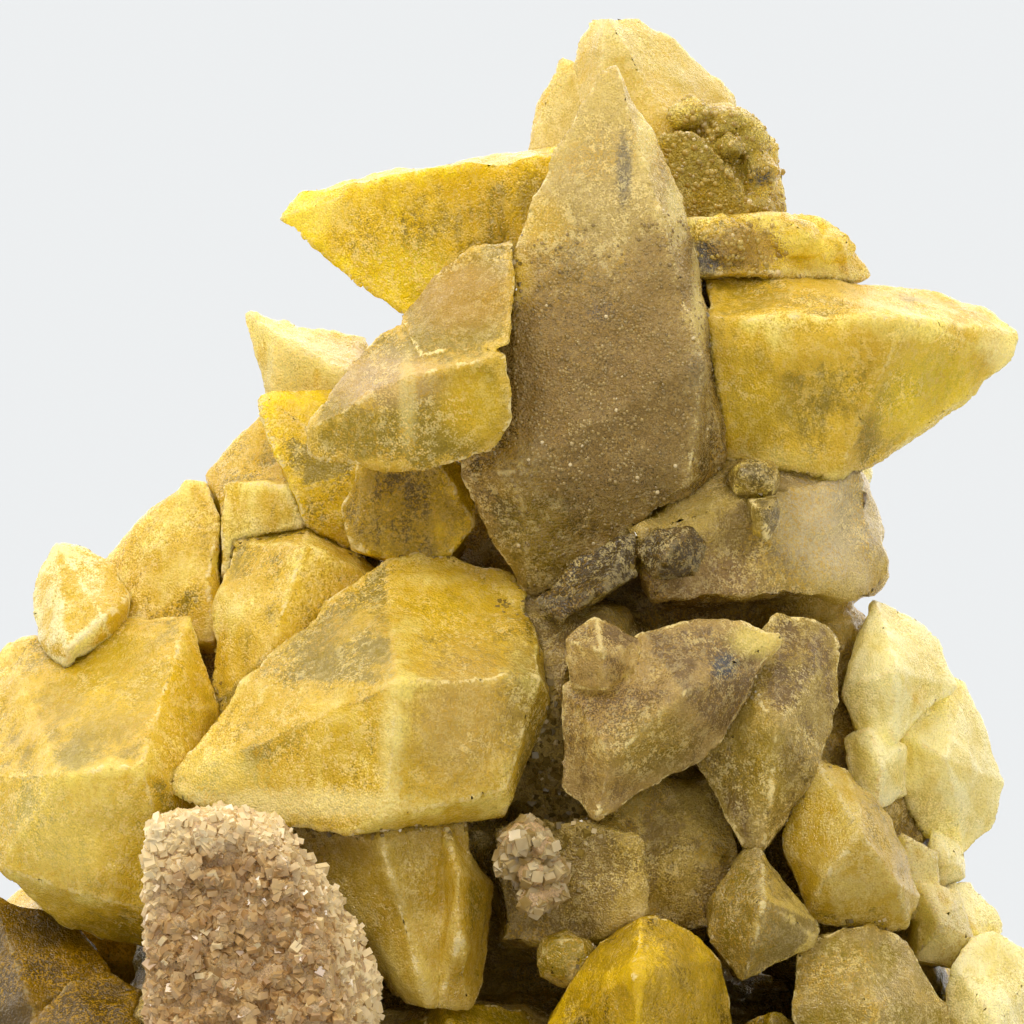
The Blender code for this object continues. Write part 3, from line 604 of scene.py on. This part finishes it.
def frosting_and_edge_highlight(tree, skin, veil, line):
    """How frosted the skin is in etched patches, and broken cream lines along the sharp edges that are
    partly frost, partly a painted highlight.
    """
    patches = shift(tree, skin["grit"], 0.35, skin["frosted"])
    patches = node(tree, "MapRange", patches, 0.48, 0.64, 0.0, veil, **SMOOTH)
    patches = node(tree, "Math", patches, skin["coarse"], operation="MULTIPLY")
    broken = node(tree, "MapRange", skin["broken"], 0.46, 0.6, 0.0, line, **SMOOTH)
    broken = node(tree, "Math", broken, skin["keen"], operation="MULTIPLY")
    lines = node(tree, "MapRange", skin["rim"], 0.3, 0.1, 0.0, 1.0, **SMOOTH)
    lines = node(tree, "Math", lines, broken, operation="MULTIPLY")
    return node(tree, "Math", patches, lines, operation="MAXIMUM")


def calcite(name, dim, body, bright, lift=0.0, veil=0.35, stain=0.5, see_through=0.0,
            grain=1.0, coat=TAN, rough=0.24, line=1.0, patches=()):
    """Etched calcite: light sinks in and glows at thin edges, which its colour also paints, under a
    frosted and stained skin with painted shade where crystals meet and in etch pits.
    """
    material, tree, shader, mm = paint(name)
    skin = skin_of(tree, mm)
    colour = body_colour(tree, mm, skin, dim, body, bright, lift)
    colour = patched(tree, mm, skin, colour, patches)
    colour = stained(tree, skin, colour, stain)
    frost_and_edge_highlight = frosting_and_edge_highlight(tree, skin, veil, line)
    # Cream frost, and the painted highlight along the sharp edges.
    colour = node(tree, "Mix", frost_and_edge_highlight, sockets={6: colour, 7: linear(CREAM)}, **COLOURS)

    # The granular coat, and painted shade in brown where crystals meet.
    caked = node(tree, "Math", skin["coat"], 0.7, skin["grit"], operation="MULTIPLY_ADD")
    caked = node(tree, "MapRange", caked, 0.8, 1.05, 0.0, 0.8, **SMOOTH)
    colour = node(tree, "Mix", caked, sockets={6: colour, 7: linear(coat)}, **COLOURS)
    painted_joint_shade = node(tree, "Math", skin["fine"], 0.6, skin["join"], operation="MULTIPLY_ADD")
    painted_joint_shade = node(tree, "MapRange", painted_joint_shade, 0.85, 1.35, 0.0, 0.75, **SMOOTH)
    colour = node(tree, "Mix", painted_joint_shade, sockets={6: colour, 7: linear(BROWN)}, **COLOURS)

    # Etch pits: painted shade in their hollows and painted light on the bumps between, and pressed into
    # the surface.
    hollow = shift(tree, skin["fine"], 0.8, shift(tree, skin["grit"], 0.8, 0.0))
    hollow = node(tree, "Math", hollow, skin["coarse"], operation="MULTIPLY")
    hollow = node(tree, "Math", hollow, 0.7 * grain, 1.0, operation="MULTIPLY_ADD")
    colour = node(tree, "VectorMath", colour, sockets={"Scale": hollow}, operation="SCALE")
    relieved = node(tree, "Math", skin["grit"], 0.5, skin["fine"], operation="MULTIPLY_ADD")
    bump = node(tree, "Bump", sockets={"Height": relieved, "Strength": 0.65 * grain,
                                       "Distance": PIT_DEPTH * MM})

    # A crust is duller than bare calcite, and less light sinks into it.
    crusted = node(tree, "Math", frost_and_edge_highlight, caked, operation="MAXIMUM")
    feed(shader, {
        "Base Color": colour, "Normal": bump, "IOR": CALCITE_IOR,
        "Transmission Weight": see_through, "Specular IOR Level": 0.28,
        "Roughness": node(tree, "MapRange", crusted, 0.0, 1.0, rough, rough + 0.22, **SMOOTH),
        "Subsurface Weight": node(tree, "MapRange", crusted, 0.0, 1.0, 0.56, 0.25, **SMOOTH),
        "Subsurface Radius": (1.0, 0.93, 0.16), "Subsurface Scale": CRYSTAL_SPREAD * MM})
    shader.subsurface_method = "BURLEY"
    return material


def druse(name, deep, pale, white=0.1, see_through=0.15, rough=0.22, rim=None):
    """Tiny glassy crystals, each its own tone between two colours, and a few of them white, which also
    serve as painted glints.
    """
    material, tree, shader, mm = paint(name)
    chance = node(tree, "NewGeometry", out="Random Per Island")
    region = node(tree, "TexNoise", mm, sockets={"Scale": 0.5, "Detail": 2.0, "Roughness": 0.6})
    tone = shift(tree, region, 1.6, shift(tree, chance, 0.5, 0.5))
    tone = node(tree, "MapRange", tone, 0.0, 1.0, 0.0, 1.0, **SMOOTH)
    colour = node(tree, "Mix", tone, sockets={6: linear(deep), 7: linear(pale)}, **COLOURS)
    # A few grains at random are made white: partly white crystals, partly painted glints.
    glint = node(tree, "MapRange", chance, 1.0 - white, 1.0 - white * 0.7, 0.0, 0.7, **SMOOTH)
    colour = node(tree, "Mix", glint, sockets={6: colour, 7: linear(SUGAR)}, **COLOURS)
    if rim:
        ragged = node(tree, "TexNoise", mm, sockets={"Scale": 0.4, "Detail": 4.0, "Roughness": 0.6})
        away = shift(tree, ragged, 0.5, from_spot(tree, mm, *rim))
        pale_rim = node(tree, "MapRange", away, 0.85, 1.1, 0.0, 0.85, **SMOOTH)
        colour = node(tree, "Mix", pale_rim, sockets={6: colour, 7: linear(SUGAR)}, **COLOURS)
    feed(shader, {
        "Base Color": colour, "IOR": CALCITE_IOR, "Transmission Weight": see_through,
        "Roughness": rough, "Subsurface Weight": 0.3, "Subsurface Radius": (1.0, 0.85, 0.5),
        "Subsurface Scale": GRAIN_SPREAD * MM})
    return material


def seed_crystal(kind):
    """A crystal to strew, one millimetre or so long and half sunk: a rhomb, a blade or a bead."""
    if kind == "rhomb":
        bpy.ops.mesh.primitive_cube_add(size=0.8 * MM, rotation=(math.radians(45), math.radians(35.3), 0))
    elif kind == "blade":
        bpy.ops.mesh.primitive_cube_add(size=0.9 * MM, rotation=(math.radians(66), 0, 0))
        bpy.context.object.scale = (0.45, 0.8, 1.5)
    else:
        bpy.ops.mesh.primitive_ico_sphere_add(subdivisions=1, radius=0.5 * MM)
        bpy.ops.object.shade_smooth()
    seed = bpy.context.object
    seed.location.z = -SUNK * MM
    bpy.ops.object.transform_apply(location=True, rotation=True, scale=True)
    return seed


def growth(name, seed, per_mm2, small, large, share):
    """Geometry nodes that strew a seed crystal over a bed and leave one plain mesh of them."""
    tree = bpy.data.node_groups.new(name, "GeometryNodeTree")
    tree.interface.new_socket("Bed", in_out="INPUT", socket_type="NodeSocketGeometry")
    tree.interface.new_socket("Grains", in_out="OUTPUT", socket_type="NodeSocketGeometry")
    bed = node(tree, "NodeGroupInput")
    lumps = node(tree, "TexNoise", sockets={"Scale": 1 / CLUMP / MM, "Detail": 3.0})
    clumped = node(tree, "MapRange", lumps, 0.38, 0.62, 0.15)
    field = node(tree, "GeometryNodeInputNamedAttribute", sockets={"Name": share})
    crowd = node(tree, "Math", field, clumped, operation="MULTIPLY")
    crowd = node(tree, "Math", crowd, per_mm2 / MM ** 2, operation="MULTIPLY")
    spots = node(tree, "GeometryNodeDistributePointsOnFaces", bed, sockets={"Density": crowd})
    turn = node(tree, "FunctionNodeRandomValue", (-LEAN, -LEAN, -math.pi), (LEAN, LEAN, math.pi),
                data_type="FLOAT_VECTOR")
    turn = node(tree, "FunctionNodeEulerToRotation", turn)
    turned = node(tree, "FunctionNodeRotateRotation", spots.node.outputs["Rotation"], turn,
                  rotation_space="LOCAL")
    size = node(tree, "FunctionNodeRandomValue", sockets={2: small, 3: large, "Seed": 7}, out=1)
    shape = node(tree, "GeometryNodeObjectInfo", seed, out="Geometry")
    grains = node(tree, "GeometryNodeInstanceOnPoints", spots, sockets={
        "Instance": shape, "Rotation": turned, "Scale": size})
    plain = node(tree, "GeometryNodeRealizeInstances", grains)
    tree.links.new(plain, tree.nodes.new("NodeGroupOutput").inputs[0])
    return tree


def strew(beds, name, kind, per_mm2, small, large, share):
    """Tiny crystals over some pieces, most where an attribute of theirs is high, as one piece."""
    seed = seed_crystal(kind)
    tree = growth(name, seed, per_mm2, small, large, share)
    grown = []
    for bed in beds:
        piece = bpy.data.objects.new(name, bed.data.copy())
        bpy.context.scene.collection.objects.link(piece)
        piece.modifiers.new("growth", "NODES").node_group = tree
        apply_all(piece)
        grown.append(piece)
    alone(grown[0])
    for piece in grown:
        piece.select_set(True)
    bpy.ops.object.join()
    bpy.data.objects.remove(seed)
    joined = grown[0]
    joined.data.materials.clear()
    hold_in_box(joined)
    return joined


# Kinds of calcite, grown in the open and etched: honey gold; vivid, a lit copy of it with painted
# light where the light is strongest; pale lemon and milky, brightened in part by painted light from
# behind; dull grey-brown with a film of clay; smoky with fine dirt inside; clear enough to see into;
# and dark amber, a shaded copy with painted shade at the foot. Etching leaves all of them satin,
# and the clear ones a little glossier. Dim, body and bright are the colours that the painted light
# through a crystal picks, from thick and shaded to thin and lit.
GOLDEN = {"dim": OLIVE, "body": HONEY, "bright": STRAW}
# A lit copy of the golden calcite: painted light.
VIVID = {"dim": OLIVE, "body": GOLD, "bright": CANARY}
# Pale and milky, brightened in part by painted light from behind.
PALE = {"dim": HONEY, "body": "#E6D078", "bright": "#F2E4A2", "stain": 0.1, "lift": 0.1}
DULL = {"dim": "#463614", "body": "#5E481C", "bright": "#7A602C", "stain": 0.2, "lift": -0.4,
        "line": 0.2}
SMOKY = {"dim": DARK_SMOKE, "body": SMOKE, "bright": STRAW, "stain": 0.2}
CLEAR = {"dim": OLIVE, "body": SMOKE, "bright": "#E2C25C", "see_through": 0.3, "rough": 0.16}
# A shaded copy of amber calcite: painted shade at the foot.
DARK = {"dim": DARK_AMBER, "body": "#887006", "bright": AMBER, "veil": 0.12, "lift": -0.15}

# Each crystal's own finish, some of its patches painted light and shade. A patch is x, z, half width and
# half height in mm, colour, strength.
FINISHES_WITH_PAINTED_SHADING = {
    "drusy_slab": dict(dim=ROSE_BROWN, body=ROSE_CREAM, bright=SUGAR, coat=ROSE_CREAM, stain=0.1, patches=(
        (-29.0, 32.0, 6.0, 2.5, SUGAR, 0.9), (-16.5, 14.0, 3.0, 12.0, SUGAR, 0.7))),
    "big_front_crystal": dict(GOLDEN, patches=(
        (-18.0, 50.0, 9.0, 5.0, OLIVE, 0.35), (-4.0, 54.0, 6.0, 3.0, GOLD, 0.5),
        # The dark smoky strip at x 1.5 is a painted shadow along the right edge.
        (-5.0, 43.0, 6.0, 8.0, BISCUIT, 0.75), (1.5, 44.0, 3.0, 9.0, DARK_SMOKE, 0.55),
        (-30.0, 37.0, 6.0, 3.0, STRAW, 0.6), (-20.0, 42.5, 7.0, 2.5, GOLD, 0.5),
        # The long lemon strip at z 34.4 is painted glow along the lower rim.
        (-12.0, 40.0, 1.2, 8.0, LEMON, 0.5), (-22.0, 34.4, 13.0, 1.6, LEMON, 0.8))),
    "big_left_crystal": dict(GOLDEN, patches=(
        (-39.0, 46.0, 11.0, 6.0, GOLD, 0.6), (-44.0, 32.0, 8.0, 7.0, STRAW, 0.5),
        (-36.0, 29.0, 6.0, 5.0, GOLD, 0.5), (-40.0, 21.0, 8.0, 2.0, AMBER, 0.6))),
    "right_blade_crystal": dict(GOLDEN, patches=(
        (38.0, 78.5, 3.0, 4.0, OCHRE, 0.4), (42.0, 74.5, 6.0, 6.0, CANARY, 0.6),
        (49.0, 79.4, 2.0, 2.5, LEMON, 0.8), (23.0, 74.5, 5.0, 6.0, GOLD, 0.6),
        (25.0, 67.5, 6.0, 2.0, STRAW, 0.5), (29.0, 84.5, 12.0, 1.8, HONEY, 0.4))),
    "left_blade_crystal": dict(VIVID, lift=0.04, patches=(
        (-11.0, 86.0, 6.0, 4.0, CANARY, 0.8), (-20.0, 93.0, 4.0, 2.0, STRAW, 0.4),
        (2.0, 94.5, 2.0, 3.0, OLIVE, 0.7))),
    "side_crystal": dict(GOLDEN, body="#C8A434", bright="#D6B654", lift=-0.2, patches=(
        (-13.0, 76.5, 7.0, 3.0, ROSE_CREAM, 0.6), (-10.4, 74.5, 1.0, 5.0, LEMON, 0.4),
        (-4.0, 74.0, 3.5, 4.0, GOLD, 0.7), (-5.0, 85.0, 6.0, 4.0, BURNT_GOLD, 0.85))),
    "spear_crystal": dict(dim=PEAT, body="#A08038", bright="#C8AC62", coat="#86682C", patches=(
        (9.0, 98.0, 8.0, 12.0, SAND, 0.75), (-0.5, 86.7, 2.5, 3.5, GOLD, 0.8),
        # The narrow lemon strips at x 13.5, 16.4 and 18.9 are painted light on the right facet.
        (3.0, 92.0, 3.0, 3.0, HONEY, 0.5), (13.5, 101.0, 1.1, 3.6, LEMON, 0.6),
        (16.4, 93.0, 1.2, 4.5, LEMON, 0.6), (9.0, 73.0, 11.0, 12.0, PEAT, 0.6),
        (2.0, 60.0, 5.0, 6.0, OLIVE, 0.5),
        (11.2, 97.5, 0.9, 4.0, SLATE, 0.6), (8.8, 83.2, 1.6, 1.2, SLATE, 0.7),
        (18.4, 77.5, 1.3, 2.5, SLATE, 0.4), (18.9, 85.0, 1.1, 6.0, LEMON, 0.6))),
    "grey_spot_crystal": dict(SMOKY, dim="#745A30", body="#A4864A", bright="#C0A058", lift=-0.1, patches=(
        (21.2, 48.1, 1.4, 1.4, SLATE, 0.9), (24.5, 50.5, 3.0, 1.8, STRAW, 0.6),
        (14.0, 40.0, 5.0, 4.0, OLIVE, 0.5))),
    "hanging_brown_crystal": dict(SMOKY, dim="#705628", bright="#C4A350", lift=-0.05, patches=(
        (24.5, 38.0, 5.0, 4.0, OLIVE, 0.6),)),
    "low_grey_crystal": dict(DULL),
    "crown_crystals": dict(dim=OLIVE, body=HONEY, bright=STRAW, coat=OLIVE, lift=0.05, grain=1.6, patches=(
        (24.8, 96.6, 1.8, 1.2, SLATE, 0.9), (22.3, 98.6, 1.6, 0.8, PITCH, 1.0))),
    "ledge_crystals": dict(dim=OLIVE, body=HONEY, bright=STRAW, grain=1.4, patches=(
        (19.6, 88.6, 2.4, 2.2, SLATE, 0.9), (29.0, 89.5, 5.0, 2.5, CANARY, 0.4))),
    "summit_crystals": dict(dim=HONEY, body="#D2B65A", bright="#DECA84", patches=(
        (17.0, 102.0, 6.0, 4.0, GOLD, 0.5),)),
    "hanging_crystals": dict(CLEAR, body="#C8A22C", lift=0.1, patches=(
        (-12.0, 27.0, 6.0, 4.0, AMBER, 0.5),)),
    "clear_right_crystals": dict(CLEAR, body=HONEY, lift=0.05),
    "lower_right_crystal": dict(CLEAR),
    "corner_crystal": dict(CLEAR, bright="#B8963A", lift=-0.05, see_through=0.0),
    "round_crystal": dict(CLEAR, lift=-0.2, see_through=0.0),
    "right_foot_crystals": dict(CLEAR, body=HONEY, bright=LEMON, lift=0.2),
    "grape_lumps": dict(SMOKY, bright=ROSE_CREAM, lift=0.3, coat=ROSE_CREAM),
    "grey_block": dict(DULL),
    "cream_lump": dict(SMOKY, lift=-0.25, line=0.3),
    "hanging_nub": dict(SMOKY, bright=HONEY, lift=-0.4),
    "amber_front_crystal": dict(DARK, body=AMBER, bright=GOLD, lift=0.1),
    "lower_left_crystals": dict(DARK, dim="#5A4200", body="#7C5C00", bright="#96700A", line=0.2, veil=0.0),
    "lower_front_crystals": dict(DARK, lift=0.0),
    "front_foot_crystal": dict(DARK, lift=-0.4, line=0.3),
    "dark_hollow_crystal": dict(DARK, body=AMBER, bright=GOLD, lift=0.1),
    "left_foot_crystals": dict(DARK, body=AMBER, bright=HONEY, lift=0.2),
    "amber_left_crystal": dict(VIVID),
    "lemon_crystal": dict(PALE, bright="#EED27C", lift=0.0),
    "ridge_crystal": dict(GOLDEN, lift=0.1),
    "edge_crystal": dict(PALE, body=HONEY, lift=0.0),
    "pale_right_crystals": dict(PALE),
    "pale_corner_crystals": dict(PALE),
    "back_shoulder_crystals": dict(PALE),
    "back_right_crystals": dict(PALE),
    "right_side_crystal": dict(PALE),
    "matrix": dict(dim="#94793A", body="#BC9E48", bright="#CEB264", coat=SMOKE, grain=1.3, patches=(
        (32.0, 62.0, 6.0, 6.0, GREY_CREAM, 0.85), (18.0, 56.0, 9.0, 4.0, MAUVE, 0.7),
        # The dark amber patch at x -12 is painted shade where the matrix lies in shadow.
        (7.0, 50.0, 4.0, 8.0, MAUVE_BROWN, 0.6), (-12.0, 60.0, 7.0, 5.0, DARK_AMBER, 0.5))),
}


def finish(piece, material):
    """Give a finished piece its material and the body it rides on."""
    piece.data.materials.append(material)
    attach(piece, "root")


def dress_crystals():
    """Make the worn piece of every solid and put it in the solid's place."""
    worn = {}
    for name in sorted(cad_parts):
        voxel = FINE
        if name.startswith("back_") or name == "left_foot_crystals":
            voxel = COARSE
        if name == "matrix":
            voxel = ROUGH
        piece = worn_crystal(name, voxel)
        finish(piece, calcite(name + "_calcite", **FINISHES_WITH_PAINTED_SHADING.get(name, GOLDEN)))
        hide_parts(name)
        worn[name] = piece
    return worn


def grow_druse(worn):
    """Strew the tiny crystals: the slab's druse, the coats and the crusts in crevices."""
    for name, beds, kind, per_mm2, small, large, share, look, slot in DRUSES:
        piece = strew([worn[bed] for bed in beds], name, kind, per_mm2, small, large, share)
        finish(piece, druse(name + "_calcite", **look))


# Looks of the grains: the slab's pinkish sugar with a cream rim, the tall crystal's grey grains,
# brown dirt and crust, glassy grains, and golden beads.
PINKISH = dict(deep="#A47C4A", pale="#CCA870", white=0.05, see_through=0.0,
               rim=(-27.0, 14.0, 11.0, 17.5))
SPEAR_GREY = dict(deep="#7C6430", pale="#A68A4A", white=0.02, see_through=0.0)
BROWNISH = dict(deep=DARK_SMOKE, pale=SMOKE, white=0.08)
GLASSY = dict(deep="#B0904C", pale="#E4CA94", white=0.15, see_through=0.3, rough=0.08)
GOLDISH = dict(deep="#A07E20", pale="#D2B458", white=0.05, rough=0.15)

# The crystals whose crevices hold fine grains.
CREVICES = ("spear_crystal", "big_front_crystal", "side_crystal", "grey_spot_crystal", "cream_lump",
            "hanging_brown_crystal", "clear_right_crystals", "hanging_crystals", "ridge_crystal",
            "low_grey_crystal", "lower_right_crystal", "corner_crystal", "round_crystal", "grey_block")

# Druse pieces: name, beds, seed, how many a square mm, least and most size in mm, where, look, slot.
DRUSES = (
    ("slab_blades", ("drusy_slab",), "blade", 2.2, 0.5, 1.7, "coat", PINKISH, "druse"),
    ("slab_rhombs", ("drusy_slab",), "rhomb", 3.4, 0.3, 1.3, "coat", PINKISH, "druse"),
    ("spear_grains", ("spear_crystal",), "bead", 6.0, 0.2, 0.6, "coat", SPEAR_GREY, "calcite_brown"),
    ("crown_beads", ("crown_crystals", "ledge_crystals"), "bead", 4.0, 0.25, 0.9, "coat", GOLDISH,
     "calcite_gold"),
    ("grape_grains", ("grape_lumps",), "rhomb", 2.4, 0.6, 1.5, "coat", GLASSY, "druse"),
    ("matrix_crust", ("matrix",), "rhomb", 4.0, 0.3, 0.9, "coat", BROWNISH, "matrix"),
    ("crevice_grains", CREVICES, "rhomb", 2.4, 0.2, 0.6, "join", BROWNISH, "matrix"),
)


camera()
studio()
grow_druse(dress_crystals())
